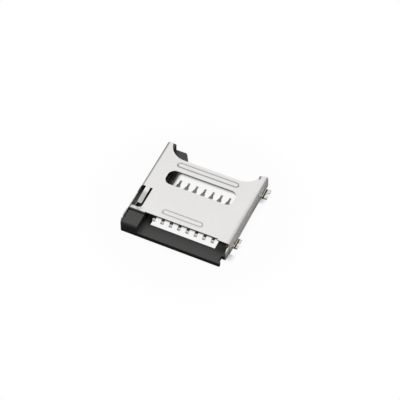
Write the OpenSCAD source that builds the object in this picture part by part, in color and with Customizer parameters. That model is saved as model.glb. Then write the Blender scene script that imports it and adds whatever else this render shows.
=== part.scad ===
// Push-push memory card connector for a circuit board.
// A pressed shell covers a moulded housing with eight spring contacts. A slide with a
// heart cam, a wire pin and a coil spring holds the card and throws it out again, and a
// pair of card detect contacts stands in the right rail.
// Construction frame: X from the shell's left side, Y from its rear edge towards the card
// mouth, Z up from the board. place() moves it to the centre of the part's outline.

/* [Shell] */
// Length of the shell's top plate
shell_len = 11.45; // [11:0.05:12.6]
// Height from the board to the shell's top
body_h = 1.85; // [1.8:0.01:2.1]
// Thickness of the shell's sheet
sheet_t = 0.15; // [0.1:0.01:0.18]
// Outer radius of the bends along both sides
bend_r = 0.5; // [0.3:0.01:0.6]
// Gap between the board and the lower edge of the side walls
wall_lift = 0.05; // [0:0.01:0.15]
// How far the middle of the rear edge stands back
rear_setback = 0.2; // [0.05:0.01:0.4]
// Left end of that middle length
setback_x0 = 2.32; // [2:0.02:2.8]
// Distance of its right end from the shell's right side
setback_right = 1.67; // [1.3:0.01:2]
// Reach of the left side wall behind the top plate
wall_reach_left = 1.75; // [0.8:0.05:1.9]
// Height of its upper edge there
wall_top_left = 1.65; // [1.4:0.01:1.68]
// Reach of the right side wall behind the top plate
wall_reach_right = 1.05; // [0.5:0.05:1.3]
// Height of its upper edge there
wall_top_right = 1.47; // [1.3:0.01:1.6]
// How far the right wall's reach is pressed inwards
side_press = 0.1; // [0.04:0.01:0.12]
// Corner radius at the rear of both side walls
wall_corner_r = 0.6; // [0.2:0.05:0.8]
// Corner radius of the mouth tips
tip_r = 0.12; // [0.06:0.02:0.2]
// How far the right tip's inner corner stands back
tip_slope = 0.38; // [0.2:0.02:0.5]
// Depth of the finger cut in the mouth edge
finger_depth = 2.03; // [1:0.01:2.4]
// Corner radius of the finger cut
finger_r = 2.4; // [1.2:0.1:2.6]
// Distance of the finger cut from the shell's left side
finger_left = 0.77; // [0.6:0.01:1.2]
// Width of the tip that the finger cut leaves on the right
finger_right = 0.98; // [0.8:0.01:1.4]
// Distance of the finger cut's right bend from the shell's right side
finger_turn = 0.65; // [0.5:0.01:0.75]

/* [Shell window and beads] */
// Distance of the window over the solder tails from both sides
window_side = 2.28; // [2:0.02:2.7]
// Width of the window
window_w = 2.2; // [1.5:0.05:2.6]
// Distance of the window's centre from the bead beside the mouth
window_in = 2.2; // [2.1:0.05:2.5]
// Corner radius of the window
window_r = 0.85; // [0.3:0.05:1.05]
// Distance of the mouth bead's ends from the window's
mouth_bead_side = 0.47; // [0.2:0.02:1]
// Distance of its centre from the finger cut
mouth_bead_in = 0.82; // [0.6:0.02:0.9]
// Length of the bead over the contacts
rear_bead_len = 5.2; // [4:0.1:7]
// Distance of its centre from the rear edge
rear_bead_y = 1.28; // [1:0.05:2]
// Width of both beads
bead_w = 0.68; // [0.4:0.02:0.8]
// Depth to which the beads are pressed in
bead_depth = 0.08; // [0.03:0.01:0.1]

/* [Shell tongue] */
// Near end of the opening around the tongue
tongue_open_y0 = 0.6; // [0.6:0.05:1]
// Far end of that opening, at the tongue's root
tongue_open_y1 = 3.87; // [3.5:0.01:4.2]
// Left edge of the opening, on the bend of the side wall
tongue_open_x0 = 0.22; // [0.18:0.01:0.3]
// Right edge of the opening
tongue_open_x1 = 1.59; // [1.45:0.01:1.7]
// Corner radius of the opening beside the tongue's free end
tongue_open_r = 0.4; // [0.2:0.02:0.5]
// Left edge of the tongue
tongue_x0 = 0.69; // [0.5:0.01:0.7]
// Width of the tongue
tongue_w = 0.6; // [0.5:0.01:0.7]
// Gap between the tongue's free end and the opening
tongue_end_gap = 0.75; // [0.4:0.02:0.9]
// Depth of the notch in the left side beside the tongue's root
side_notch = 0.75; // [0.5:0.02:0.85]
// Length of that notch
side_notch_len = 1.1; // [0.8:0.05:1.5]

/* [Solder feet] */
// Length of each foot along the side wall
foot_len = 1.5; // [1.1:0.05:1.8]
// How far the right foot at the mouth stands out
foot_out_mouth = 0.69; // [0.5:0.01:0.9]
// How far the right foot at the rear stands out
foot_out_rear = 0.5; // [0.4:0.01:0.7]
// How far both left feet stand out
foot_out_left = 0.42; // [0.35:0.01:0.6]
// Distance of the feet at the mouth from the shell's mouth edge
foot_mouth_in = 1.35; // [1.2:0.05:1.5]
// Distance of the feet at the rear from the rear edge
foot_rear_y = 1.7; // [1.4:0.05:2]
// Bend radius of a foot at the middle of its sheet
foot_bend_r = 0.16; // [0.1:0.01:0.2]
// Width of the notch in a foot's outer edge
foot_notch_w = 0.5; // [0.3:0.02:0.7]
// Depth of that notch
foot_notch_d = 0.32; // [0.26:0.01:0.4]
// Height of the slot in the wall above a foot
catch_h = 0.42; // [0.3:0.02:0.6]
// Length of that slot
catch_len = 1.14; // [0.8:0.02:1.3]
// Gap between the slot and the foot's upper face
catch_gap = 0.03; // [0.01:0.01:0.06]

/* [Housing] */
// Gap between the housing and the shell
shell_gap = 0.02; // [0.01:0.01:0.05]
// Height of the housing's floor, on which the card slides
floor_h = 0.65; // [0.58:0.01:0.75]
// Reach of the housing behind the shell's rear edge
rear_len = 2.25; // [1.9:0.05:2.6]
// Distance of the rear opening from the rear edge, measured outwards
rear_bar_y = 0.4; // [0.3:0.05:0.6]
// Distance of the bar's end from the shell's right side
bar_end_in = 0.37; // [0.3:0.01:0.6]
// Further depth of the notch beside that end
bar_notch = 0.25; // [0.1:0.05:0.4]
// Length of the end and of the notch along Y
bar_notch_len = 0.35; // [0.2:0.05:0.5]
// Width of the tall block at the left
block_w = 2.2; // [2:0.05:2.5]
// Edge radius of that block's top towards the rear
block_r = 0.45; // [0.15:0.05:0.6]
// Radius of its upright corner
block_corner_r = 0.18; // [0.1:0.01:0.3]
// Thickness of the left side wall
side_wall_t = 0.3; // [0.26:0.01:0.34]
// Height of the thin catch in the shell's notch
lug_top = 1.6; // [1.4:0.01:1.65]
// How far the left lobe stands out of the mouth edge
lobe_out = 0.05; // [0:0.01:0.1]
// Right end of that lobe
lobe_x1 = 2.72; // [2.2:0.02:3.2]
// Width of the slope between the lobe and the floor's mouth edge
lobe_slope = 0.65; // [0.4:0.05:1.2]
// Bevel of the lobe's outer corner
lobe_bevel = 0.2; // [0.1:0.02:0.3]
// Distance of the floor's mouth edge from the shell's
floor_mouth_in = 1.25; // [1:0.05:1.4]
// Distance of the right rail's end from the mouth edge
rail_in = 0.45; // [0.4:0.05:0.6]
// Distance of the right rail's rear end from the rear edge
rail_y0 = 1.05; // [0.9:0.05:1.2]
// Thickness of the right rail
rail_w = 1.15; // [1.1:0.01:1.2]
// How far the rail's mouth end stands back from the card
rail_flare = 0.48; // [0.3:0.02:0.6]
// Distance of the tails' opening from the middle of the first contact
tail_open_side = 0.58; // [0.4:0.01:0.65]
// Distance of the rear opening from the middle of the first contact
rear_open_side = 0.4; // [0.3:0.01:0.5]
// Bevel of the rear opening's corner beside the first contact
open_bevel = 0.2; // [0.1:0.02:0.3]
// Distance of both openings from the middle of the last contact
open_far_side = 0.57; // [0.3:0.01:0.6]
// Reach of the opening for the solder tails behind the window's centre
tail_open_back = 0.3; // [0.2:0.05:0.5]
// Length of that opening
tail_open_len = 2.9; // [2.6:0.05:3.1]
// Near end of the comb between the contact beams
comb_y = 1.9; // [1.7:0.05:2.4]
// Near end of the floor that holds the contacts
root_y = 3.6; // [3.3:0.05:4]

/* [Card] */
// Full width of the card
card_w = 11; // [10.8:0.02:11.1]
// How much narrower the card's front part is
card_step = 1.3; // [1.26:0.01:1.34]
// Room between the housing's outline and the card's left side
card_side = 1.03; // [1:0.01:1.1]
// Side clearance of the card
card_gap = 0.05; // [0.02:0.01:0.08]

/* [Contacts] */
// Distance from one contact to the next
pitch = 1.1; // [1:0.01:1.1]
// Thickness of the contact strip
contact_t = 0.12; // [0.08:0.01:0.14]
// Width of a contact's beam
contact_w = 0.34; // [0.26:0.01:0.4]
// Width of a contact's tip
tip_w = 0.38; // [0.24:0.01:0.44]
// Width of the narrow end of a solder tail
tail_tip_w = 0.27; // [0.16:0.01:0.3]
// Width of the shoulder of a solder tail
tail_w = 0.5; // [0.42:0.01:0.56]
// Length of the solder tail in the opening
tail_len = 1.6; // [1.5:0.05:2]
// How far the tail stands to the right of its contact
tail_shift = 0.1; // [0:0.01:0.12]
// Rise of the crest that touches the card above the floor
crest_rise = 0.55; // [0.4:0.01:0.6]
// Distance of the crest from the shell's rear edge
crest_y = 0.5; // [0.4:0.02:0.8]
// Height of the strip's middle inside the floor
root_h = 0.31; // [0.26:0.01:0.36]
// Bend radius at the middle of the strip
contact_bend_r = 0.2; // [0.14:0.01:0.24]
// Clearance of the strip in its moulded slot
mould_gap = 0.01; // [0.005:0.005:0.02]
// Width of the comb's slot for one beam
comb_slot_w = 0.62; // [0.5:0.02:0.7]

/* [Slide] */
// Travel of the slide from rest to its rear stop
travel = 2.9; // [2.4:0.05:3]
// Travel from rest to where the pin holds the pushed slide
latch_travel = 2.4; // [2:0.05:2.5]
// Clearance between the slide and the housing
slide_gap = 0.03; // [0.02:0.01:0.05]
// Room between the slide's flat top and the shell's top
pin_room = 0.65; // [0.62:0.01:0.7]
// Thickness of the channel's floor under the slide
channel_floor = 0.25; // [0.18:0.01:0.28]
// Distance of the slide at rest from the mouth edge
slide_in = 2.5; // [2.4:0.05:2.7]
// Distance of the card's shoulder from that end
shoulder_in = 0.7; // [0.5:0.05:0.9]
// Length of the shoulder's slope
shoulder_bevel = 0.5; // [0.2:0.05:0.7]
// Length of the raised pad at the front end
pad_len = 1.4; // [1:0.05:1.8]
// Distance between the slide's rear end and the pin's tip
tip_in = 0.275; // [0.25:0.005:0.35]

/* [Cam pin and cam] */
// Diameter of the pin's wire
pin_d = 0.25; // [0.2:0.01:0.26]
// Clearance of the wire in the cam and in its bore
pin_gap = 0.03; // [0.02:0.005:0.04]
// X of the pin's fixed leg
pin_x = 0.47; // [0.46:0.01:0.54]
// Y of the pin's fixed leg
pin_y = 0.55; // [0.5:0.01:0.6]
// Clearance of the arm over the slide
arm_gap = 0.055; // [0.03:0.005:0.07]
// Bend radius of the wire at its middle
pin_bend_r = 0.2; // [0.15:0.01:0.22]
// X of the lane where the pin tip rests
cam_start_x = 1.27; // [1.2:0.01:1.3]
// X where the lane ends after a full push
cam_left_x = 0.83; // [0.82:0.01:0.88]
// X of the return lane
cam_right_x = 1.42; // [1.38:0.01:1.43]
// Depth of the lane on the way in
lane_depth = 0.33; // [0.31:0.01:0.36]
// Further depth at the heart's notch
notch_drop = 0.06; // [0.02:0.01:0.08]
// Length of the pin's tip inside the lane
tip_depth = 0.26; // [0.2:0.01:0.28]
// Wall of the boss around the fixed leg
boss_wall = 0.12; // [0.1:0.01:0.15]

/* [Coil spring] */
// Outer diameter of the coil
coil_d = 0.62; // [0.5:0.01:0.64]
// Diameter of the spring wire
coil_wire = 0.11; // [0.08:0.01:0.12]
// Number of turns
coil_turns = 16; // [10:1:20]
// Clearance around the coil in the slide's pocket
coil_gap = 0.02; // [0.01:0.005:0.03]
// Face of the block that the spring rests on
seat_y = 0.15; // [0.1:0.01:0.2]
// Thickness of the slide beyond the spring
pocket_end = 1.1; // [0.9:0.05:1.3]

/* [Card detect contacts] */
// Thickness of the detect strips
detect_t = 0.1; // [0.08:0.01:0.12]
// Distance of the fixed blade from the shell's right side
blade_in = 0.4; // [0.36:0.01:0.5]
// How far the leaf's elbow stands into the card's path
elbow_out = 0.16; // [0.1:0.01:0.25]
// Y of that elbow
elbow_y = 3.5; // [3.2:0.05:3.8]
// Clearance of the leaf over the floor
leaf_gap = 0.11; // [0.07:0.01:0.15]
// Width of the leaf's strip
leaf_w = 0.6; // [0.45:0.01:0.65]
// Width of the hairpin at the leaf's rear end
hairpin_w = 0.28; // [0.22:0.01:0.32]
// Length of that hairpin
hairpin_len = 0.47; // [0.3:0.01:0.6]
// Distance of the hairpin from the right rail's rear end
hairpin_in = 0.75; // [0.68:0.01:0.9]
// Length of the leaf beyond its elbow
leaf_end = 1.1; // [0.8:0.05:1.2]
// Distance of the terminal's tongue from its blade
terminal_step = 0.32; // [0.26:0.01:0.36]
// Distance of the terminal's blade from the leaf's elbow
terminal_in = 1.7; // [1.65:0.05:1.9]
// Length of the terminal's blade
terminal_len = 0.5; // [0.35:0.05:0.6]
// Length of the leaf's solder blade
tail_blade = 0.7; // [0.5:0.05:0.8]
// Length of the solder tails of both strips
detect_foot = 0.4; // [0.25:0.01:0.45]

/* [Hidden] */
$fn = 48;

contact_count = 8;
bend_step = 9;
coil_steps = 14;
over = 1;

in_x0 = sheet_t + shell_gap;
shell_w = 2 * in_x0 + card_side + card_w + card_gap + rail_w;
in_x1 = shell_w - in_x0;
in_top = body_h - sheet_t - shell_gap;

rail_x0 = in_x1 - rail_w;
card_x1 = rail_x0 - card_gap;
card_x0 = card_x1 - card_w;
nose_x0 = card_x0 + card_step;
row_x = (nose_x0 + card_x1) / 2;

mouth_bead_y = shell_len - finger_depth - mouth_bead_in;
window_y = mouth_bead_y - window_in;
window_len = shell_w - 2 * window_side;
mouth_bead_len = window_len - 2 * mouth_bead_side;
foot_mouth_y = shell_len - foot_mouth_in;
lobe_y = shell_len + lobe_out;
floor_mouth_y = shell_len - floor_mouth_in;
rail_y1 = shell_len - rail_in;
tail_open_y0 = window_y - tail_open_back;
tail_open_y1 = tail_open_y0 + tail_open_len;
tail_y = tail_open_y0 + tail_len;
crest_h = floor_h + crest_rise;

channel_x0 = in_x0 + side_wall_t;
slide_x0 = channel_x0 + slide_gap;
slide_x1 = nose_x0 - card_gap;
channel_x1 = slide_x1 + slide_gap;
stop_x1 = card_x0 - card_gap;
slide_y1 = shell_len - slide_in;
stop_y = slide_y1 + card_gap;
slide_bottom = channel_floor + slide_gap;
slide_top = body_h - pin_room;

pin_r = pin_d / 2;
arm_h = slide_top + arm_gap + pin_r;
lane_w = pin_d + 2 * pin_gap;
bore_r = pin_r + pin_gap;
boss_y1 = pin_y + bore_r + boss_wall;
slide_y0 = boss_y1 + slide_gap + travel;
tip_y = slide_y0 + tip_in;
arm_len = norm([cam_start_x - pin_x, tip_y - pin_y]);
rest_angle = asin((cam_start_x - pin_x) / arm_len);
pushed_angle = asin((cam_left_x - pin_x) / arm_len);
shoulder_y = slide_y1 - shoulder_in;

blade_x = shell_w - blade_in;
leaf_z0 = floor_h + leaf_gap;
leaf_z1 = leaf_z0 + leaf_w;
hairpin_y = rail_y0 - hairpin_in;
blade_y = elbow_y + terminal_in;
tail_blade_y = hairpin_y - detect_t / 2;

open_x0 = contact_x(0) - tail_open_side;
rear_open_x0 = contact_x(0) - rear_open_side;
open_x1 = contact_x(contact_count - 1) + open_far_side;
catch_z0 = sheet_t + catch_gap;
place_x = (shell_w + foot_out_mouth - foot_out_left) / 2;
place_y = (lobe_y - rear_len) / 2;

BLACK = [0.09, 0.09, 0.1];
DARK = [0.13, 0.13, 0.14];
STEEL = [0.8, 0.8, 0.79];
BRONZE = [0.72, 0.66, 0.52];

// Moves the construction frame to the row's origin.
module place() {
    translate([-place_x, -place_y, 0]) children();
}

// Draws a profile in Y and Z along X from x0 to x1.
module along_x(x0, x1) {
    translate([x0, 0, 0]) rotate([90, 0, 90]) linear_extrude(x1 - x0) children();
}

// Draws a profile in X and Z along Y from y0 to y1.
module along_y(y0, y1) {
    translate([0, y1, 0]) rotate([90, 0, 0]) linear_extrude(y1 - y0) children();
}

// Draws a profile in X and Y along Z from z0 to z1.
module along_z(z0, z1) {
    translate([0, 0, z0]) linear_extrude(z1 - z0) children();
}

// Block between two corners.
module block(a, b) {
    translate(a) cube(b - a);
}

// Rectangle between two corners.
module area(x0, y0, x1, y1) {
    translate([x0, y0]) square([x1 - x0, y1 - y0]);
}

// Rectangle with round corners.
module rounded(x0, y0, x1, y1, r) {
    area(x0 + r, y0, x1 - r, y1);
    area(x0, y0 + r, x1, y1 - r);
    for (x = [x0 + r, x1 - r], y = [y0 + r, y1 - r]) translate([x, y]) circle(r);
}

// Slot of width w between the points a and b, with round ends.
module lane(a, b, w) {
    translate(a) rotate(heading(a, b)) area(0, -w / 2, norm(b - a), w / 2);
    for (end = [a, b]) translate(end) circle(w / 2);
}

function heading(a, b) = atan2(b[1] - a[1], b[0] - a[0]);
function wrap(a) = a > 180 ? a - 360 : a < -180 ? a + 360 : a;
function turn(path, i) = wrap(heading(path[i], path[i + 1]) - heading(path[i - 1], path[i]));
function inner(path, i) = i > 0 && i < len(path) - 1;
function trim(path, i, r) = inner(path, i) ? r * tan(abs(turn(path, i)) / 2) : 0;
function on(p, a, d) = p + d * [cos(a), sin(a)];

// Points of the path's bend at corner i, held off to the left by d.
function bend_points(path, i, r, d) = let (a = heading(path[i - 1], path[i]), angle = turn(path, i),
    side = sign(angle), centre = on(on(path[i], a, -trim(path, i, r)), a + 90 * side, r),
    steps = ceil(abs(angle) / bend_step))
    [for (k = [0:steps]) on(centre, a - 90 * side + angle * k / steps, r - side * d)];

// One long side of a bent strip.
function strip_side(path, r, d) = let (last = len(path) - 1)
    concat([on(path[0], heading(path[0], path[1]) + 90, d)],
        [for (i = [1:last - 1]) each bend_points(path, i, r, d)],
        [on(path[last], heading(path[last - 1], path[last]) + 90, d)]);

// Strip of thickness t along a path, bent to radius r at each corner.
module strip(path, r, t) {
    left = strip_side(path, r, t / 2);
    right = strip_side(path, r, -t / 2);
    polygon(concat(left, [for (i = [1:len(right)]) right[len(right) - i]]));
}

// Cross-section with two round upper corners, held in from the outline by inset.
module section(inset) {
    r = bend_r - inset;
    area(inset, -over, shell_w - inset, body_h - bend_r);
    area(bend_r, -over, shell_w - bend_r, body_h - inset);
    for (x = [bend_r, shell_w - bend_r]) translate([x, body_h - bend_r]) circle(r);
}

// Sheet of the folded shell, in X and Z.
module folded_sheet() {
    difference() {
        section(0);
        section(sheet_t);
        area(-over, -2 * over, shell_w + over, wall_lift);
    }
}

// Plan of the shell's top: stepped rear edge, finger cut, window and tongue opening.
module shell_plan() {
    difference() {
        union() {
            rounded(0, shell_len / 2, shell_w, shell_len, tip_r);
            area(0, rear_setback, shell_w, shell_len - over);
            area(0, 0, setback_x0, over);
            area(shell_w - setback_right, 0, shell_w, over);
        }
        finger_cut();
        tip_cut();
        rounded(window_x0(), window_y - window_w / 2, window_x0() + window_len,
            window_y + window_w / 2, min(window_r, window_w / 2 - sheet_t / 2));
        area(tongue_open_x0, tongue_open_y0, tongue_open_x1 - tongue_open_r, tongue_open_y1);
        area(tongue_open_x0, tongue_open_y0 + tongue_open_r, tongue_open_x1, tongue_open_y1);
        translate([tongue_open_x1 - tongue_open_r, tongue_open_y0 + tongue_open_r])
            circle(tongue_open_r);
    }
}

function window_x0() = (shell_w - window_len) / 2;

// Finger cut in the mouth edge.
module finger_cut() {
    y0 = shell_len - finger_depth;
    intersection() {
        rounded(finger_left, y0, shell_w - finger_turn, y0 + 2 * finger_r + over, finger_r);
        area(0, y0 - over, shell_w - finger_right, shell_len + over);
    }
}

// Slope of the right tip's mouth edge, from its inner corner to the side.
module tip_cut() {
    x0 = shell_w - finger_right;
    rise = tip_slope / finger_right;
    reach = over / 4;
    polygon([[x0 - reach, shell_len - tip_slope - rise * reach],
        [shell_w + reach, shell_len + rise * reach], [x0 - reach, shell_len + over]]);
}

// Bead outline that narrows from half width r0 at z0 to r1 at z1.
module bead(y, length, r0, r1, z0, z1) {
    x0 = (shell_w - length + bead_w) / 2;
    x1 = (shell_w + length - bead_w) / 2;
    along_x(x0, x1) polygon([[y - r0, z0], [y + r0, z0], [y + r1, z1], [y - r1, z1]]);
    for (x = [x0, x1]) translate([x, y, z0]) cylinder(h = z1 - z0, r1 = r0, r2 = r1);
}

// Rear end of a side wall, with a round upper corner.
module wall_end(x0, reach, top) {
    along_x(x0, x0 + sheet_t) {
        area(-reach + wall_corner_r, wall_lift, 0, top);
        area(-reach, wall_lift, sheet_t, top - wall_corner_r);
        translate([-reach + wall_corner_r, top - wall_corner_r]) circle(wall_corner_r);
    }
}

// Solder foot at the left side's wall, bent outwards to x = -out and forked at its end.
module foot(y, out) {
    path = [[sheet_t / 2, catch_z0 + foot_bend_r], [sheet_t / 2, sheet_t / 2],
        [-out, sheet_t / 2]];
    difference() {
        along_y(y - foot_len / 2, y + foot_len / 2) strip(path, foot_bend_r, sheet_t);
        along_z(-over, over)
            lane([-out - foot_notch_w, y], [-out + foot_notch_d - foot_notch_w / 2, y], foot_notch_w);
        catch_slot(y);
    }
}

// Slot at the left side's wall and its foot's bend.
module catch_slot(y) {
    block([-over / 4, y - catch_len / 2, catch_z0],
        [sheet_t + shell_gap, y + catch_len / 2, catch_z0 + catch_h]);
}

// Path of the tongue in Y and Z, from the top plate down to the pin's arm.
function tongue_path() = [[tongue_open_y1 + sheet_t, body_h - sheet_t / 2],
    [tongue_open_y1 - 2 * sheet_t, body_h - sheet_t / 2],
    [tongue_open_y0 + tongue_end_gap, arm_h + pin_r + mould_gap + sheet_t / 2]];

module tongue() {
    intersection() {
        along_x(0, shell_w / 2) strip(tongue_path(), sheet_t, sheet_t);
        along_z(0, 2 * body_h)
            rounded(tongue_x0, tongue_open_y0 + tongue_end_gap - sheet_t,
                tongue_x0 + tongue_w, tongue_open_y1 + over, tongue_w / 2.2);
    }
}

module shell() color(STEEL) place() {
    difference() {
        union() {
            intersection() {
                along_y(-over, shell_len + over) folded_sheet();
                along_z(-over, body_h + over) shell_plan();
            }
            side_strip(0);
            side_strip(shell_w - sheet_t);
            wall_end(0, wall_reach_left, wall_top_left);
            wall_end(shell_w - sheet_t - side_press, wall_reach_right, wall_top_right);
            for (y = [mouth_bead_y, rear_bead_y])
                bead(y, y == mouth_bead_y ? mouth_bead_len : rear_bead_len, bead_w / 2 - bead_depth,
                    bead_w / 2, body_h - sheet_t - bead_depth, body_h - sheet_t + bead_depth / 2);
        }
        for (y = [mouth_bead_y, rear_bead_y])
            bead(y, y == mouth_bead_y ? mouth_bead_len : rear_bead_len, bead_w / 2 - bead_depth,
                bead_w / 2 + bead_depth, body_h - bead_depth, body_h + bead_depth);
        block([-over, tongue_open_y1 - side_notch_len, body_h - side_notch],
            [tongue_x0, tongue_open_y1, body_h + over]);
        for (y = [foot_mouth_y, foot_rear_y]) {
            catch_slot(y);
            translate([shell_w, 0, 0]) mirror([1, 0, 0]) catch_slot(y);
        }
    }
    tongue();
    for (y = [foot_mouth_y, foot_rear_y]) foot(y, foot_out_left);
    translate([shell_w, 0, 0]) mirror([1, 0, 0]) {
        foot(foot_mouth_y, foot_out_mouth);
        foot(foot_rear_y, foot_out_rear);
    }
}

// Lower part of a side wall, which the plan's cuts leave whole.
module side_strip(x0) {
    block([x0, 0, wall_lift], [x0 + sheet_t, shell_len, body_h - bend_r - sheet_t]);
}

// Plan of the housing's floor with its rear bar and mouth edge.
module floor_plan() {
    bar_x = shell_w - bar_end_in;
    end_y = bar_notch_len - rear_len;
    polygon([[in_x0, -rear_len], [bar_x, -rear_len], [bar_x, 2 * end_y + rear_len - bar_notch_len],
        [bar_x - bar_notch, 2 * end_y + rear_len - bar_notch_len],
        [bar_x - bar_notch, -wall_reach_right], [in_x1 - side_press, -wall_reach_right],
        [in_x1 - side_press, in_x0], [in_x1, in_x0], [in_x1, rail_y1],
        [rail_x0 + rail_flare, rail_y1], [rail_x0 - card_gap, floor_mouth_y + 2 * bar_notch],
        [rail_x0 - rail_w, floor_mouth_y], [lobe_x1 + lobe_slope, floor_mouth_y],
        [lobe_x1, lobe_y - lobe_bevel], [lobe_x1 - lobe_bevel, lobe_y], [in_x0, lobe_y]]);
}

// Tall block at the rear left, round towards the rear and the side.
module rear_block() {
    x1 = in_x0 + block_w;
    intersection() {
        along_x(in_x0, x1) {
            area(-rear_len, 0, seat_y, in_top - block_r);
            area(-rear_len + block_r, 0, seat_y, in_top);
            translate([-rear_len + block_r, in_top - block_r]) circle(block_r);
        }
        along_z(-over, body_h + over) {
            area(in_x0 + block_corner_r, -rear_len, x1, seat_y);
            area(in_x0, -rear_len + block_corner_r, x1, seat_y);
            translate([in_x0 + block_corner_r, -rear_len + block_corner_r]) circle(block_corner_r);
        }
    }
}

// Floor of the housing without its rounded rear left corner.
module floor_plate() {
    difference() {
        along_z(0, floor_h) floor_plan();
        block([in_x0 - over, -rear_len - over, -over],
            [in_x0 + block_corner_r, block_corner_r - rear_len, over]);
        block([channel_x0, seat_y, channel_floor], [channel_x1, stop_y, over]);
        block([open_x0, tail_open_y0, -over], [open_x1, tail_open_y1, over]);
        along_z(-over, over) polygon([[rear_open_x0 + open_bevel, -rear_bar_y], [open_x1, -rear_bar_y],
            [open_x1, comb_y], [rear_open_x0, comb_y], [rear_open_x0, open_bevel - rear_bar_y]]);
        for (i = [0:contact_count - 1]) {
            x = contact_x(i);
            block([x - comb_slot_w / 2, comb_y - over, -over], [x + comb_slot_w / 2, root_y, over]);
        }
    }
}

// Moulded slot around one contact's root.
module root_slot(i) {
    half = contact_w / 2 + mould_gap;
    rise = contact_t / 2 + mould_gap;
    block([contact_x(i) - half, root_y - over, root_h - rise],
        [contact_x(i) + half, tail_open_y0 + over, root_h + rise]);
}

module housing() color(BLACK) place() {
    difference() {
        union() {
            intersection() {
                along_y(-rear_len - over, lobe_y + over) section(in_x0);
                housing_body();
            }
            catch_lugs();
            translate([shell_w, 0, 0]) mirror([1, 0, 0]) catch_lugs();
            notch_lug();
        }
        for (i = [0:contact_count - 1]) root_slot(i);
        translate([pin_x, pin_y, channel_floor]) cylinder(h = body_h, r = bore_r);
        detect_cuts();
    }
    translate([coil_x(), seat_y - slide_gap, coil_z()]) rotate([-90, 0, 0])
        cylinder(h = 3 * coil_d, r = coil_d / 2 - coil_wire - coil_gap);
}

// Small catches of the housing that stand in the left side wall's slots.
module catch_lugs() {
    half = catch_len / 2 - shell_gap;
    for (y = [foot_mouth_y, foot_rear_y])
        block([shell_gap, y - half, catch_z0 + shell_gap],
            [in_x0, y + half, catch_z0 + catch_h - shell_gap]);
}

// Thin catch of the housing that fills the shell's notch beside the tongue's root.
module notch_lug() {
    y1 = tongue_open_y1 - shell_gap;
    y0 = y1 - side_notch_len + 2 * shell_gap;
    block([shell_gap, y0, body_h - side_notch + shell_gap], [tongue_open_x0, y1, lug_top]);
}

// Floor, rear block, pin boss, walls and rail.
module housing_body() {
    floor_plate();
    rear_block();
    block([in_x0, seat_y - over / 4, 0], [channel_x0, stop_y, slide_top]);
    block([in_x0, tongue_open_y1 + shell_gap, 0], [channel_x0, stop_y, in_top]);
    block([in_x0, seat_y - over / 4, 0], [pin_x + bore_r + 4 * boss_wall, boss_y1, slide_top]);
    block([in_x0, stop_y, 0], [stop_x1, lobe_y, in_top]);
    along_z(0, in_top) polygon([[rail_x0, rail_y0], [in_x1, rail_y0], [in_x1, rail_y1],
        [rail_x0 + rail_flare, rail_y1], [rail_x0 + 0.8 * rail_flare, rail_y1 - rail_flare],
        [rail_x0, rail_y1 - 2.5 * rail_flare]]);
}

function contact_x(i) = row_x + (i - (contact_count - 1) / 2) * pitch;

// Path of a contact in Y and Z: solder tail, root, beam, crest and curled tip.
function contact_path() = [[tail_y, contact_t / 2], [tail_open_y0 + 3 * contact_bend_r, contact_t / 2],
    [tail_open_y0 + 1.6 * contact_bend_r, root_h], [root_y, root_h],
    [crest_y + contact_bend_r, crest_h - contact_t / 2], [crest_y - contact_bend_r, crest_h - contact_t],
    [crest_y - 2.4 * contact_bend_r, crest_h - 2.6 * contact_t]];

// Plan of a contact at the row's middle, wide at the shoulder of its tail.
module contact_plan() {
    tip_y = crest_y - 4 * contact_bend_r;
    shoulder = tail_open_y0 + 4 * contact_bend_r;
    step = contact_bend_r / 2;
    edge = [[tip_w / 2, tip_y, 0], [tip_w / 2, crest_y + step, 0], [contact_w / 2, comb_y, 0],
        [contact_w / 2, tail_open_y0 + step, 0], [tail_w / 2, tail_open_y0 + 2 * step, tail_shift],
        [tail_w / 2, shoulder, tail_shift],
        [tail_tip_w / 2, shoulder + 2 * step, tail_shift],
        [tail_tip_w / 2, tail_y + step, tail_shift]];
    last = len(edge) - 1;
    polygon([for (p = edge) [p[2] + p[0], p[1]],
        for (i = [0:last]) let (p = edge[last - i]) [p[2] - p[0], p[1]]]);
}

module contact(i) color(BRONZE) place() {
    intersection() {
        along_x(contact_x(i) - tail_w, contact_x(i) + tail_w)
            strip(contact_path(), contact_bend_r, contact_t);
        translate([contact_x(i), 0, 0]) along_z(-over, body_h) contact_plan();
    }
}

module contact_1() contact(0);
module contact_2() contact(1);
module contact_3() contact(2);
module contact_4() contact(3);
module contact_5() contact(4);
module contact_6() contact(5);
module contact_7() contact(6);
module contact_8() contact(7);

// Points of the heart cam in the slide at rest.
function cam_start() = [cam_start_x, tip_y];
function cam_left() = [cam_left_x, pin_y + arm_len * cos(pushed_angle) + travel];
function cam_notch() = [(cam_left_x + cam_right_x) / 2, cam_left()[1] - travel + latch_travel];
function cam_right() = [cam_right_x, cam_left()[1]];
function cam_return() = [cam_right_x, tip_y + 2 * lane_w];

// Heart-shaped track of the pin: in, notch, out and back to the start.
module heart_cam() {
    top = slide_top + over;
    along_z(slide_top - lane_depth, top) {
        lane(cam_start(), cam_left(), lane_w);
        lane(cam_right(), cam_return(), lane_w);
        lane(cam_return(), cam_start(), lane_w);
    }
    along_z(slide_top - lane_depth - notch_drop, top) {
        lane(cam_left(), cam_notch(), lane_w);
        lane(cam_notch(), cam_right(), lane_w);
    }
}

// Plan of the slide: body, slope for the card's shoulder and front arm.
module slide_plan() {
    polygon([[slide_x0, slide_y0], [slide_x1, slide_y0], [slide_x1, shoulder_y - shoulder_bevel],
        [slide_x1 - shoulder_bevel, shoulder_y], [stop_x1, shoulder_y], [stop_x1, slide_y1],
        [slide_x0, slide_y1]]);
}

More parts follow.
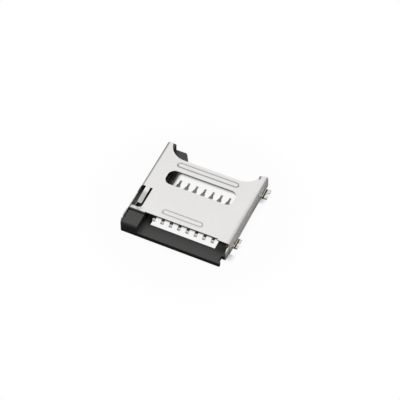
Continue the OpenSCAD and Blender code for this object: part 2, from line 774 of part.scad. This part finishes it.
function coil_x() = slide_x1 - coil_d / 2 - 3 * coil_gap - (slide_x1 - cam_right_x - lane_w / 2 - coil_d) / 4;
function coil_z() = slide_bottom + coil_gap + coil_d / 2;

module slide() color(DARK) place() {
    half = coil_d / 2 + coil_gap;
    difference() {
        union() {
            along_z(slide_bottom, slide_top) slide_plan();
            block([slide_x0, slide_y1 - pad_len, slide_bottom], [stop_x1, slide_y1, in_top]);
            block([slide_x0, shoulder_y - over / 4, slide_bottom],
                [slide_x1 - shoulder_bevel, slide_y1 - shoulder_in / 3, floor_h - slide_gap]);
        }
        heart_cam();
        block([coil_x() - half, slide_y0 - over, 0],
            [coil_x() + half, slide_y1 - pocket_end, coil_z() + half]);
    }
}

// Path of the spring's wire: both end turns lie close, the others are spread evenly.
function coil_y(turns) = let (dead = 1.1 * coil_wire, span = slide_y1 - pocket_end - seat_y - coil_wire)
    seat_y + coil_wire / 2 + (turns < 1 ? turns * dead
        : turns > coil_turns - 1 ? span - (coil_turns - turns) * dead
        : dead + (turns - 1) * (span - 2 * dead) / (coil_turns - 2));

function coil_point(turns, a) = let (r = coil_d / 2 - coil_wire / 2 + coil_wire / 2 * cos(a))
    [coil_x() + r * cos(360 * turns), coil_y(turns) + coil_wire / 2 * sin(a),
        coil_z() + r * sin(360 * turns)];

module coil_spring() color(STEEL) place() {
    sides = 6;
    steps = coil_steps * coil_turns;
    points = [for (k = [0:steps], j = [0:sides - 1]) coil_point(k / coil_steps, 360 * j / sides)];
    skin = [for (k = [0:steps - 1], j = [0:sides - 1])
        [k * sides + j, k * sides + (j + 1) % sides, (k + 1) * sides + (j + 1) % sides,
            (k + 1) * sides + j]];
    caps = [[for (j = [0:sides - 1]) sides - 1 - j], [for (j = [0:sides - 1]) steps * sides + j]];
    polyhedron(points, concat(skin, caps), convexity = 10);
}

// Wire pin: fixed leg in the boss, arm under the tongue, tip in the cam.
module cam_pin() color(STEEL) place() {
    leg = arm_h - channel_floor - pin_bend_r - slide_gap;
    tip = arm_h - pin_bend_r - slide_top + tip_depth;
    translate([pin_x, pin_y, 0]) rotate(-rest_angle) {
        translate([0, 0, arm_h - pin_bend_r - leg]) cylinder(h = leg, r = pin_r);
        translate([0, arm_len, arm_h - pin_bend_r - tip]) cylinder(h = tip, r = pin_r);
        translate([0, pin_bend_r, arm_h]) rotate([-90, 0, 0])
            cylinder(h = arm_len - 2 * pin_bend_r, r = pin_r);
        pin_elbow();
        translate([0, arm_len, 0]) mirror([0, 1, 0]) pin_elbow();
    }
}

// Quarter bend from a leg at the origin into the arm along Y.
module pin_elbow() {
    translate([0, pin_bend_r, arm_h - pin_bend_r]) rotate([0, -90, 0]) rotate([0, 0, -90])
        rotate_extrude(angle = 90) translate([pin_bend_r, 0]) circle(pin_r);
}

// Path of the detect leaf in X and Y: hairpin end, fixed blade, elbow and free end.
function leaf_path() = [[blade_x - hairpin_w, hairpin_y + hairpin_len], [blade_x - hairpin_w, hairpin_y],
    [blade_x, hairpin_y], [blade_x, elbow_y / 2], [card_x1 - elbow_out, elbow_y],
    [card_x1 + elbow_out, elbow_y + leaf_end]];

// Path of the fixed detect terminal in X and Y.
function terminal_path() = let (near = blade_y - terminal_step)
    [[blade_x - terminal_step, near - 2 * terminal_step], [blade_x - terminal_step, near],
        [blade_x, blade_y], [blade_x, blade_y + terminal_len]];

// Blade that passes down through the floor to a solder tail on the board.
module detect_tail(y0, y1, gap) {
    half = detect_t / 2 + gap;
    block([blade_x - half, y0 - gap, -over * sign(gap)], [blade_x + half, y1 + gap, leaf_z0 + half]);
    block([blade_x - detect_foot - gap, y0 - gap, -over * sign(gap)],
        [blade_x + half, y1 + gap, detect_t + 2 * gap]);
}

module detect_leaf() color(BRONZE) place() {
    along_z(leaf_z0, leaf_z1) strip(leaf_path(), 1.2 * detect_t, detect_t);
    detect_tail(tail_blade_y, tail_blade_y + tail_blade, 0);
}

module detect_terminal() color(BRONZE) place() {
    along_z(leaf_z0, leaf_z1) strip(terminal_path(), 1.2 * detect_t, detect_t);
    detect_tail(blade_y, blade_y + terminal_len, 0);
}

// Room for the detect leaf and its terminal in the rail and the floor.
module detect_cuts() {
    half = detect_t / 2 + mould_gap;
    near = elbow_y / 2 - detect_t;
    wall = blade_x - detect_t;
    far = blade_y - detect_t;
    along_z(leaf_z0 - 2 * slide_gap, body_h) {
        area(blade_x - half, -over, blade_x + half, elbow_y / 2 + detect_t);
        polygon([[blade_x + half, near], [blade_x + half, near + hairpin_len],
            [wall, elbow_y + leaf_end - 2 * detect_t], [wall, far], [rail_x0 - over, far],
            [rail_x0 - over, near + hairpin_len], [blade_x - half, near]]);
        area(wall - terminal_step, far - terminal_step, blade_x + half, blade_y + terminal_len + mould_gap);
    }
    detect_tail(tail_blade_y, tail_blade_y + tail_blade, mould_gap);
    detect_tail(blade_y, blade_y + terminal_len, mould_gap);
}

housing();
shell();
slide();
coil_spring();
cam_pin();
contact_1();
contact_2();
contact_3();
contact_4();
contact_5();
contact_6();
contact_7();
contact_8();
detect_leaf();
detect_terminal();
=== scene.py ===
import math

import bmesh
import bpy
from mathutils import Matrix, Vector


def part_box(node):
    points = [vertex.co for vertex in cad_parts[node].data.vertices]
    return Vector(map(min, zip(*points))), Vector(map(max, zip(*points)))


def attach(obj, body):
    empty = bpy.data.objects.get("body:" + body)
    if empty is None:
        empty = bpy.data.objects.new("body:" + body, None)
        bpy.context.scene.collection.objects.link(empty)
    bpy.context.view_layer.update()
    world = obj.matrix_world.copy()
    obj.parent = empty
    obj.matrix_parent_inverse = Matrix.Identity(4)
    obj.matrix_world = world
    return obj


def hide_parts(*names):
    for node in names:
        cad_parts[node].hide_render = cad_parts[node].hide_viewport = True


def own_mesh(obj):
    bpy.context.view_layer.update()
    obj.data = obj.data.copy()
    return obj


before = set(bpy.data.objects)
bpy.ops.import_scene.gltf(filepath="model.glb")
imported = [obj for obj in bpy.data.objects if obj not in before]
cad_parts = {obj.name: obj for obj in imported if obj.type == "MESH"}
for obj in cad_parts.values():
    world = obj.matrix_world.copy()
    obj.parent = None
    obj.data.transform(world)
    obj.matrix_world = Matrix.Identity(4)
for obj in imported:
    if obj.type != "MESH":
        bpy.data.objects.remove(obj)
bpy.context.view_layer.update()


# Housing
# The connector's body, injection moulded in one piece from black glass-filled polymer
# that stands the soldering heat. Everything else is pushed into it or folded over it.

MM = 0.001


class Wire:
    """A node's output inside a finish. Arithmetic on it adds the Math nodes."""

    def __init__(self, finish, socket):
        self.finish, self.socket = finish, socket

    def maths(self, operation, *values):
        return self.finish.node("Math", {"operation": operation}, dict(enumerate(values)))

    def __add__(self, other):
        return self.maths("ADD", self, other)

    def __sub__(self, other):
        return self.maths("SUBTRACT", self, other)

    def __rsub__(self, other):
        return self.maths("SUBTRACT", other, self)

    def __mul__(self, other):
        return self.maths("MULTIPLY", self, other)

    def __abs__(self):
        return self.maths("ABSOLUTE", self)

    __radd__, __rmul__ = __add__, __mul__

    def within(self, low, high):
        """0 below low, 1 above high, smooth between; the other way round if low > high."""
        return self.finish.node("MapRange", {"interpolation_type": "SMOOTHSTEP"},
                                {"Value": self, "From Min": low, "From Max": high})

    def largest(self, other):
        return self.maths("MAXIMUM", self, other)


class Finish:
    """A material with one Principled shader, named for the surface that it covers."""

    def __init__(self, name, **constant):
        self.material = bpy.data.materials.new(name)
        self.material.use_nodes = True
        self.tree = self.material.node_tree
        self.skin = self.tree.nodes["Principled BSDF"]
        for socket, value in constant.items():
            self.skin.inputs[socket.replace("_", " ")].default_value = value

    def node(self, kind, settings, sockets, output=0):
        """Any other node: its type, its settings, the values or links of its sockets."""
        made = self.tree.nodes.new("ShaderNode" + kind)
        for name, value in settings.items():
            setattr(made, name, value)
        for name, value in sockets.items():
            if isinstance(value, Wire):
                self.tree.links.new(value.socket, made.inputs[name])
            else:
                made.inputs[name].default_value = value
        return Wire(self, made.outputs[output])

    def place(self, stretch=(1, 1, 1)):
        """Object coordinates in millimetres, each axis times its stretch."""
        here = self.node("TexCoord", {}, {}, "Object")
        scale = [s / MM for s in stretch]
        return self.node("VectorMath", {"operation": "MULTIPLY"}, {0: here, 1: scale})

    def axes(self, place=None):
        """The three coordinates of a place, by default the one in millimetres."""
        place = place or self.place()
        return [self.node("SeparateXYZ", {}, {"Vector": place}, axis) for axis in range(3)]

    def noise(self, per_mm, detail=3, roughness=0.5, stretch=(1, 1, 1)):
        return self.node("TexNoise", {}, {"Vector": self.place(stretch), "Scale": per_mm,
                                          "Detail": detail, "Roughness": roughness}, "Fac")

    def between(self, factor, first, second):
        """The colour first where factor is 0, second where it is 1."""
        colours = [c if isinstance(c, Wire) else (*c, 1) for c in (first, second)]
        return self.node("Mix", {"data_type": "RGBA"},
                         {0: factor, 6: colours[0], 7: colours[1]}, 2)

    def bump(self, height, depth_mm):
        return self.node("Bump", {}, {"Height": height, "Distance": depth_mm * MM})

    def join(self, **wires):
        """Links what varies to the Principled shader and gives the finished material."""
        for socket, wire in wires.items():
            self.tree.links.new(wire.socket, self.skin.inputs[socket.replace("_", " ")])
        return self.material


SAME_CURVE, STRAIGHT_ON = math.radians(143), math.radians(177)
ARM_SHARE, LEAST_SINE = 0.45, 0.02


def rounding_room(edge, sharp, wanted):
    """How wide an edge can be rounded before it runs into the short edges at its ends."""
    room = wanted
    for corner in edge.verts:
        along = edge.other_vert(corner).co - corner.co
        for beside in corner.link_edges:
            arm = beside.other_vert(corner).co - corner.co
            turn = along.angle(arm, 0)
            goes_on = beside in sharp and turn > SAME_CURVE
            if beside is not edge and not goes_on and turn < STRAIGHT_ON:
                room = min(room, ARM_SHARE * arm.length * max(math.sin(turn), LEAST_SINE))
    return room


def mesh_from(shape, name, finish, smooth=True):
    """Turns a bmesh into a mesh with one finish."""
    mesh = bpy.data.meshes.new(name)
    shape.to_mesh(mesh)
    shape.free()
    mesh.polygons.foreach_set("use_smooth", [smooth] * len(mesh.polygons))
    mesh.materials.append(finish)
    return mesh


def in_scene(name, data):
    """Puts a mesh, a lamp or a camera in the scene as a new object."""
    thing = bpy.data.objects.new(name, data)
    bpy.context.scene.collection.objects.link(thing)
    return thing


def fit(piece, node, body):
    """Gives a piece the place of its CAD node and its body."""
    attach(piece, body)
    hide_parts(node)


WELD, FLAT = 0.0002 * MM, math.radians(0.5)


def rounded_copy(node, name, edge_mm, body, finish, sharp_above=32):
    """Makes a piece from a CAD node's own faces, with its sharp edges rounded off."""
    shape = bmesh.new()
    shape.from_mesh(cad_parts[node].data)
    bmesh.ops.remove_doubles(shape, verts=shape.verts, dist=WELD)
    bmesh.ops.dissolve_limit(shape, angle_limit=FLAT, verts=shape.verts, edges=shape.edges)
    weight = shape.edges.layers.float.new("bevel_weight_edge")
    sharp = {e for e in shape.edges if e.calc_face_angle(0) > math.radians(sharp_above)}
    for edge in sharp:
        edge[weight] = rounding_room(edge, sharp, edge_mm * MM) / (edge_mm * MM)
    piece = in_scene(name, mesh_from(shape, name, finish))
    rounding = piece.modifiers.new("rounded_edges", "BEVEL")
    rounding.width, rounding.segments = edge_mm * MM, 2
    rounding.limit_method, rounding.use_clamp_overlap = "WEIGHT", False
    piece.modifiers.new("flat_faces", "WEIGHTED_NORMAL")
    fit(piece, node, body)


# Painted light: lighter brown speckles on the left wall beside the tongue, and a painted
# lit patch, lighter grey, on the ledge right of the rear opening.
SLOT_LIGHT_X, SLOT_LIGHT_TOP, SLOT_LIGHT_FRONT, SLOT_LIGHT_REAR = -6.25, 1.3, -1.5, -3.75
LEDGE_LIGHT_X, LEDGE_LIGHT_TOP, LEDGE_LIGHT_FRONT, LEDGE_LIGHT_REAR = 4.85, 0.72, -3.82, -4.9
SLOT_LIGHT_BROWN, LEDGE_LIGHT_GREY = (0.21, 0.185, 0.14), (0.17, 0.168, 0.164)

black = Finish("moulded_black", Metallic=0.0, IOR=1.68)
fibre = black.noise(9, detail=4, stretch=(0.25, 1, 1))
cloud = black.noise(0.8, detail=2)
grain = black.noise(30, detail=2)
x, y, z = black.axes()
speckle = black.noise(4.5, detail=4, roughness=0.7).within(0.38, 0.66)
# Painted light: lighter speckles beside the tongue and a lighter patch right of the rear
# opening.
painted_slot_light = (speckle * x.within(SLOT_LIGHT_X, SLOT_LIGHT_X - 0.15) * z.within(SLOT_LIGHT_TOP, SLOT_LIGHT_TOP - 0.05)
        * y.within(SLOT_LIGHT_FRONT, SLOT_LIGHT_FRONT - 0.5) * y.within(SLOT_LIGHT_REAR, SLOT_LIGHT_REAR + 0.2))
painted_ledge_light = (x.within(LEDGE_LIGHT_X, LEDGE_LIGHT_X + 0.15) * z.within(LEDGE_LIGHT_TOP, LEDGE_LIGHT_TOP - 0.04)
        * y.within(LEDGE_LIGHT_FRONT, LEDGE_LIGHT_FRONT - 0.16) * y.within(LEDGE_LIGHT_REAR, LEDGE_LIGHT_REAR + 0.65))
colour = black.between(fibre * 0.6 + cloud * 0.4, (0.009, 0.009, 0.0085), (0.030, 0.029, 0.027))
colour = black.between(painted_ledge_light * (0.5 + speckle * 0.5), colour, LEDGE_LIGHT_GREY)
moulded_black = black.join(
    Base_Color=black.between(painted_slot_light, colour, SLOT_LIGHT_BROWN),
    Roughness=0.38 + cloud * 0.12 + fibre * 0.08,
    Normal=black.bump(grain, 0.003))

rounded_copy("housing", "housing_body", 0.03, "base", moulded_black)


# Contacts
# Eight spring contacts, stamped from thin bronze strip, bent and plated. Each is pushed
# into the floor from its tail's side, and its curled tip stands up to touch the card.

TIP_Y, SHADED_END_Y, CONTACTS = -3.8, -4.55, 8

plating = Finish("plated_contact", Metallic=1.0)
y = plating.axes()[1]
# Painted highlight brightens the curled tips, and painted shade darkens the strip's end past
# them.
highlight_at_tip = y.within(TIP_Y, TIP_Y - 0.3)
painted_end_shade = y.within(SHADED_END_Y, SHADED_END_Y - 0.06)
wear = plating.noise(6, detail=3)
drawn = plating.noise(3, detail=3, stretch=(12, 1, 12))
tinned = plating.between(wear, (0.50, 0.49, 0.47), (0.66, 0.65, 0.62))
painted_tip_highlight = plating.between(wear, (0.88, 0.87, 0.83), (0.95, 0.94, 0.91))
colour = plating.between(highlight_at_tip, tinned, painted_tip_highlight)
plated_contact = plating.join(
    Base_Color=plating.between(painted_end_shade, colour, (0.30, 0.29, 0.28)),
    Roughness=0.28 + drawn * 0.15,
    Normal=plating.bump(drawn, 0.002))

for number in range(1, CONTACTS + 1):
    rounded_copy(f"contact_{number}", f"contact_strip_{number}", 0.012, "base",
                 plated_contact)


# Card detect strips
# A sprung leaf and a fixed blade of the same plated strip stand on edge in the right
# rail, under the shell. The card's edge bends the leaf onto the blade.

rounded_copy("detect_leaf", "detect_spring_leaf", 0.012, "base", plated_contact)
rounded_copy("detect_terminal", "detect_fixed_blade", 0.012, "base",
             plated_contact)


# Coil spring
# A compression spring wound from round steel wire, its end turns closed. It lies in the
# floor's channel under the slide and rests on a peg of the housing.

wire_steel = Finish("spring_wire", Metallic=1.0)
drawn_wire = wire_steel.noise(14, detail=2)
spring_wire = wire_steel.join(
    Base_Color=wire_steel.between(drawn_wire, (0.36, 0.36, 0.35), (0.52, 0.52, 0.5)),
    Roughness=0.25 + drawn_wire * 0.15)

COIL_WIRE, COIL_TURNS, TURN_STEPS, WIRE_SIDES = 0.11 * MM, 16, 20, 10
FULL_PUSH, CAP_ANGLE = 2.9 * MM, math.radians(40)
low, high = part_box("coil_spring")
coil_middle = (low + high) / 2
coil_axis = Vector((coil_middle.x, low.y + COIL_WIRE / 2, coil_middle.z))
coil_radius = (high.x - low.x - COIL_WIRE) / 2
closed_pitch = 1.1 * COIL_WIRE
open_pitch = (high.y - low.y - COIL_WIRE - 2 * closed_pitch) / (COIL_TURNS - 2)

coil = bmesh.new()
ring = bmesh.ops.create_circle(coil, segments=WIRE_SIDES, radius=COIL_WIRE / 2)["verts"]
bmesh.ops.translate(coil, verts=ring, vec=coil_axis + Vector((coil_radius, 0, 0)))
start_edges = list(coil.edges)
moving = list(coil.verts) + start_edges
for turns, pitch in ((1, closed_pitch), (COIL_TURNS - 2, open_pitch), (1, closed_pitch)):
    made = bmesh.ops.spin(coil, geom=moving, cent=coil_axis, axis=(0, -1, 0),
                          dvec=(0, pitch / TURN_STEPS, 0), angle=math.tau * turns,
                          steps=turns * TURN_STEPS)
    moving = made["geom_last"]
end_edges = [e for e in moving if isinstance(e, bmesh.types.BMEdge)]
bmesh.ops.edgeloop_fill(coil, edges=start_edges)
bmesh.ops.edgeloop_fill(coil, edges=end_edges)
bmesh.ops.recalc_face_normals(coil, faces=coil.faces)

spring = in_scene("return_spring", mesh_from(coil, "return_spring", spring_wire))
spring.data.set_sharp_from_angle(angle=CAP_ANGLE)
fit(spring, "coil_spring", "slider")
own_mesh(spring)


# Slide
# The push-push slide, moulded from a darker and smoother polymer. A heart-shaped track in
# its top leads the wire pin, and its shoulder carries the card.

dark = Finish("slide_black", Metallic=0.0, Specular_IOR_Level=0.5)
shine = dark.noise(2, detail=2)
slide_black = dark.join(
    Base_Color=dark.between(shine, (0.012, 0.012, 0.012), (0.022, 0.022, 0.022)),
    Roughness=0.3 + shine * 0.15,
    Normal=dark.bump(dark.noise(18, detail=2), 0.002))
rounded_copy("slide", "push_slide", 0.025, "slider", slide_black)


# Cam pin
# A steel wire, dull and blotchy from drawing, bent at both ends. One leg turns in the
# housing's boss, the other runs in the slide's track under the shell's tongue.

pin_steel = Finish("pin_steel", Metallic=1.0)
blotches = pin_steel.noise(7, detail=3)
dull_pin = pin_steel.join(
    Base_Color=pin_steel.between(blotches.within(0.35, 0.65),
                                 (0.07, 0.07, 0.068), (0.30, 0.295, 0.28)),
    Roughness=0.25 + blotches * 0.15)
rounded_copy("cam_pin", "cam_pin_wire", 0.02, "pin", dull_pin, sharp_above=50)


# Shell
# One pressed and folded sheet of tin-plated steel that holds everything down. Its sheared
# edges are bare and rough; painted shade darkens them and the creases round both beads.

MIDDLE_X, SHEET = -0.135, 0.15
TOP_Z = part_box("shell")[1].z / MM
BEADS = ((3.975, 8.07, 1.1), (-3.345, 5.2, 0.7))
BEAD_HALF_WIDTH, CREASE_SHADE_WIDTH, MOUTH_SIDE = 0.31, 0.22, 0.3
REAR_Y, REAR_STEP, REAR_MIDDLE_X, REAR_HALF_WIDTH = -4.425, 0.2, 0.19, 4.79
LEFT_CORNER_X, SHADE_SHIFT_AT_CORNER = -4.5, 0.12
WINDOW_FRONT_Y, WINDOW_HALF_WIDTH = 2.875, 4.2
TONGUE_X, TONGUE_Y = -5.92, -2.5
RIGHT_X, BEND_WIDTH = 6.65, 0.7
CUT_SHADOW_X, CUT_SHADOW_Y = 5.77, 6.2
FOOT_HALF_WIDTH, FOOT_TOP, WALL_OUT, BEND_START, BEND_END = 0.7, 0.45, 6.7, 6.83, 7.07
FEET = ((5.475, (0.80, 0.78, 0.64), (0.035, 0.033, 0.022)),
        (-2.925, (0.84, 0.75, 0.67), (0.08, 0.065, 0.05)))

sheet = Finish("shell_steel", Metallic=1.0)
x, y, z = sheet.axes()
out = abs(x - MIDDLE_X)
on_plate = z.within(TOP_Z - 0.25, TOP_Z - SHEET)
upright = sheet.node("SeparateXYZ", {}, {"Vector": sheet.node("TexCoord", {}, {}, "Normal")}, 2)


def painted_bead_shade(y_middle, length, strength):
    """Painted shade along the crease round a bead: strength on its rear side, MOUTH_SIDE of it
    on the other.
    """
    past_end = (out - (length / 2 - BEAD_HALF_WIDTH)).largest(0)
    across = y - y_middle
    squared = past_end * past_end + across * across
    outline = BEAD_HALF_WIDTH ** 2
    return (squared.within((BEAD_HALF_WIDTH - CREASE_SHADE_WIDTH) ** 2, outline)
            * squared.within((BEAD_HALF_WIDTH + CREASE_SHADE_WIDTH) ** 2, outline)
            * (MOUTH_SIDE + (1 - MOUTH_SIDE) * across.within(0.1, -0.1))) * strength


# The plain sheet has a rolled grain along y and a faint cloudiness.
rolled = sheet.noise(5, detail=4, stretch=(8, 0.6, 1))
cloudy = sheet.noise(0.35, detail=2)
colour = sheet.between(cloudy * 0.6 + rolled * 0.4, (0.745, 0.74, 0.73), (0.86, 0.85, 0.835))

# Painted shade darkens the pressed tongue and the sheet along the right bend, and the left
# rear corner is darker in blotches.
on_tongue = x - TONGUE_X
painted_tongue_shade = (on_tongue.within(-0.42, -0.2) * on_tongue.within(0.36, 0.28)
           * abs(y - TONGUE_Y).within(1.35, 0.6))
colour = sheet.between(painted_tongue_shade * (0.6 + rolled * 0.4), colour, (0.42, 0.42, 0.425))
painted_bend_shade = (x.within(RIGHT_X - BEND_WIDTH, RIGHT_X - 0.1) * z.within(TOP_Z - 0.35, TOP_Z - 0.2)
             * (0.2 * y.within(4.4, 3.4) + 0.3 * y.within(2.5, 0.5)))
colour = sheet.between(painted_bend_shade, colour, (0.46, 0.455, 0.45))
blotch = sheet.noise(3.0, detail=3).within(0.42, 0.62)
rear_corner_darker = (y.within(REAR_Y + 0.675, REAR_Y + 0.425) * z.within(TOP_Z - 0.2, TOP_Z - SHEET)
           * x.within(LEFT_CORNER_X - 0.4, LEFT_CORNER_X - 0.9))
colour = sheet.between(rear_corner_darker * (0.25 + blotch * 0.75), colour, (0.46, 0.455, 0.44))

# The feet are gold-tinted, with painted shadow in each inner bend,
# and the wall flares out towards each.
flare = 0
for foot_y, gold, foot_shadow_colour in FEET:
    aside = abs(y - foot_y) - FOOT_HALF_WIDTH
    above = z - FOOT_TOP
    at_foot = (aside.within(0.35, 0) * above.within(0.35, 0)
               * out.within(WALL_OUT - 0.2, WALL_OUT))
    painted_foot_shadow = (aside.within(0.15, 0.05) * above.within(-0.13, -0.2)
               * out.within(BEND_START, BEND_START + 0.04)
               * out.within(BEND_END, BEND_END - 0.05))
    colour = sheet.between(at_foot * (1 - 0.6 * out.within(6.95, 7.1)), colour, gold)
    colour = sheet.between(painted_foot_shadow, colour, foot_shadow_colour)
    flare = flare + (aside.within(0.15, -0.05) * above.within(0.2, -0.25)
                     * out.within(WALL_OUT, WALL_OUT + 0.05))

# Painted shade darkens the bead creases, a spot by the finger cut near the mouth, bands along
# the top's rear and window edges, and the bare, rough sheared edges.
painted_crease_shade = sum(painted_bead_shade(*bead) for bead in BEADS) * on_plate
colour = sheet.between(painted_crease_shade, colour, (0.30, 0.30, 0.29))
painted_cut_shadow = abs(x - CUT_SHADOW_X).largest(abs(y - CUT_SHADOW_Y) * 0.5).within(0.17, 0.09)
colour = sheet.between(painted_cut_shadow, colour, (0.2, 0.2, 0.205))
at_corner = abs(x - REAR_MIDDLE_X).within(REAR_HALF_WIDTH - 0.02, REAR_HALF_WIDTH + 0.02)
shade_shift = SHADE_SHIFT_AT_CORNER * x.within(LEFT_CORNER_X, LEFT_CORNER_X - 0.2)
from_rear = y - REAR_Y + REAR_STEP * at_corner - shade_shift
at_window = (y.within(WINDOW_FRONT_Y + 0.1, WINDOW_FRONT_Y + 0.03)
             * y.within(WINDOW_FRONT_Y - 0.3, WINDOW_FRONT_Y - 0.2)
             * out.within(WINDOW_HALF_WIDTH, WINDOW_HALF_WIDTH - 0.6))
painted_edge_shade = from_rear.within(0.09, 0.03).largest(at_window * 0.6) * on_plate
bare_and_shaded_edge = abs(upright).within(0.6, 0.3) * z.within(TOP_Z - SHEET - 0.05, TOP_Z - SHEET)
colour = sheet.between(bare_and_shaded_edge.largest(painted_edge_shade * 0.9), colour, (0.025, 0.025, 0.024))

shell_steel = sheet.join(
    Base_Color=colour,
    Roughness=0.3 + cloudy * 0.1 + rolled * 0.08 + bare_and_shaded_edge * 0.25,
    Normal=sheet.bump(rolled * 0.0015 + flare * 0.45, 1.0))
rounded_copy("shell", "shell_sheet", 0.02, "base", shell_steel)


# Floor, light and camera
# A plain white table under a soft studio dome with one broad lamp, and the camera at the
# photograph's place.

class Lighting(Finish):
    """The world's nodes, with the same way of writing as a finish."""

    def __init__(self, world):
        world.use_nodes = True
        self.tree = world.node_tree


def rays(finish, kind):
    """1 for the renderer's rays of this kind, 0 for all others."""
    return finish.node("LightPath", {}, {}, f"Is {kind} Ray")


def seen_directly(finish):
    """1 for what the camera sees, straight or through something clear."""
    return rays(finish, "Camera").largest(rays(finish, "Transmission"))


SKY_FROM = Vector((0.1, 0.45, 0.88))
SKY_DARK, SKY_BRIGHT, SKY_FALL = 0.22, 0.98, 0.4

world = bpy.data.worlds.new("studio")
bpy.context.scene.world = world
studio = Lighting(world)
direction = studio.node("TexCoord", {}, {}, "Generated")
towards = studio.node("VectorMath", {"operation": "DOT_PRODUCT"},
                      {0: direction, 1: SKY_FROM.normalized()}, "Value")
sideways = abs(studio.axes(direction)[0])
sky = SKY_DARK + (SKY_BRIGHT - SKY_DARK) * (towards - SKY_FALL * sideways).within(-0.1, 0.65)
seen = seen_directly(studio)
strength = sky * (1 - seen) + seen
dome = studio.tree.nodes["Background"]
dome.inputs["Color"].default_value = (1, 1, 1, 1)
studio.tree.links.new(strength.socket, dome.inputs["Strength"])

# The table is pure white to the camera, but for a soft shade under the part. What is
# mirrored of it is darker near the part, which gives the side walls their dark streaks.
UNDER_HALF_X, UNDER_HALF_Y, UNDER_MIDDLE_Y = 6.6, 5.2, 0.2
SHADE_REACH, DARK_REACH, BRIGHT_FROM = 10.0, 30.0, 80.0

table = Finish("white_table", Roughness=0.9)
x, y, z = table.axes()
from_middle = x * x + y * y
under = (abs(x).within(UNDER_HALF_X + 1.0, UNDER_HALF_X) * z.within(-0.8, -0.2)
         * abs(y - UNDER_MIDDLE_Y).within(UNDER_HALF_Y + 0.9, UNDER_HALF_Y))
below_mouth = y.within(3.7, 4.3) * 0.75
below_window_end = y.within(0.8, 1.2) * x.within(-3.6, -4.15) * 0.9
below_rear_edge = y.within(-3.5, -3.25) * y.within(-2.6, -2.9) * 0.5
behind_tips = y.within(-4.53, -4.62) * 0.75
edges = below_mouth + below_window_end + below_rear_edge + behind_tips
shaded = (from_middle.within((SHADE_REACH + 6.0) ** 2, SHADE_REACH ** 2) * 0.05
          + under * (0.05 + edges))
far_off = from_middle.within(DARK_REACH ** 2, BRIGHT_FROM ** 2)
beside = abs(x).within(6.6, 7.4) * abs(y).within(9, 7) * 0.34
close_by = abs(x).within(6.82, 6.7) * abs(x).within(6.5, 6.6) * abs(y).within(3.0, 2.0) * 0.6
below_rail = under * y.within(0.8, 1.2) * x.within(6.6, 6.2) * 0.5
mirrored = far_off.largest(beside).largest(close_by).largest(below_rail)

seen = seen_directly(table)
white = seen * (1 - shaded) + rays(table, "Glossy") * mirrored
table.join(Base_Color=table.between(seen, (0.1, 0.1, 0.1), (0.85, 0.85, 0.83)))
skin = Wire(table, table.skin.outputs[0])
glow = table.node("Emission", {}, {"Color": (1, 1, 1, 1), "Strength": 1.0})
shown = table.node("MixShader", {}, {0: white, 1: skin, 2: glow})
table.tree.links.new(shown.socket, table.tree.nodes["Material Output"].inputs["Surface"])

FLOOR_WIDTH, FLOOR_THICK, FLOOR_DROP = 4.0, 1.0 * MM, 0.02 * MM
slab = bmesh.new()
bmesh.ops.create_cube(slab, size=1.0)
bmesh.ops.scale(slab, verts=slab.verts, vec=(FLOOR_WIDTH, FLOOR_WIDTH, FLOOR_THICK))
bmesh.ops.translate(slab, verts=slab.verts, vec=(0, 0, -FLOOR_DROP - FLOOR_THICK / 2))
in_scene("floor", mesh_from(slab, "floor", table.material, smooth=False))

TARGET = Vector((0.295, 0.671, 0.925)) * MM
LAMP_WIDTH, LAMP_WATTS, LAMP_FROM = 0.16, 0.08, Vector((-0.16, 0.02, 0.26))

lamp_data = bpy.data.lights.new("soft_lamp", "AREA")
lamp_data.shape, lamp_data.size, lamp_data.energy = "DISK", LAMP_WIDTH, LAMP_WATTS
lamp = in_scene("soft_lamp", lamp_data)
lamp.location = TARGET + LAMP_FROM
lamp.rotation_euler = (TARGET - lamp.location).to_track_quat("-Z", "Y").to_euler()

AZIMUTH, ELEVATION, ROLL = math.radians(24.68), math.radians(51.67), math.radians(0.19)
DISTANCE, FOCAL_PIXELS, PIXELS, SENSOR = 194.165 * MM, 1605, 400, 36.0

back = Vector((math.sin(AZIMUTH) * math.cos(ELEVATION),
               -math.cos(AZIMUTH) * math.cos(ELEVATION), math.sin(ELEVATION)))
eye_data = bpy.data.cameras.new("camera")
eye_data.sensor_width = SENSOR
eye_data.lens = SENSOR * FOCAL_PIXELS / PIXELS
eye_data.clip_start = 5 * MM
eye = in_scene("camera", eye_data)
eye.location = TARGET + back * DISTANCE
eye.rotation_euler = ((-back).to_track_quat("-Z", "Y").to_matrix()
                      @ Matrix.Rotation(ROLL, 3, "Z")).to_euler()
bpy.context.scene.camera = eye
bpy.context.scene.view_settings.view_transform = "Standard"
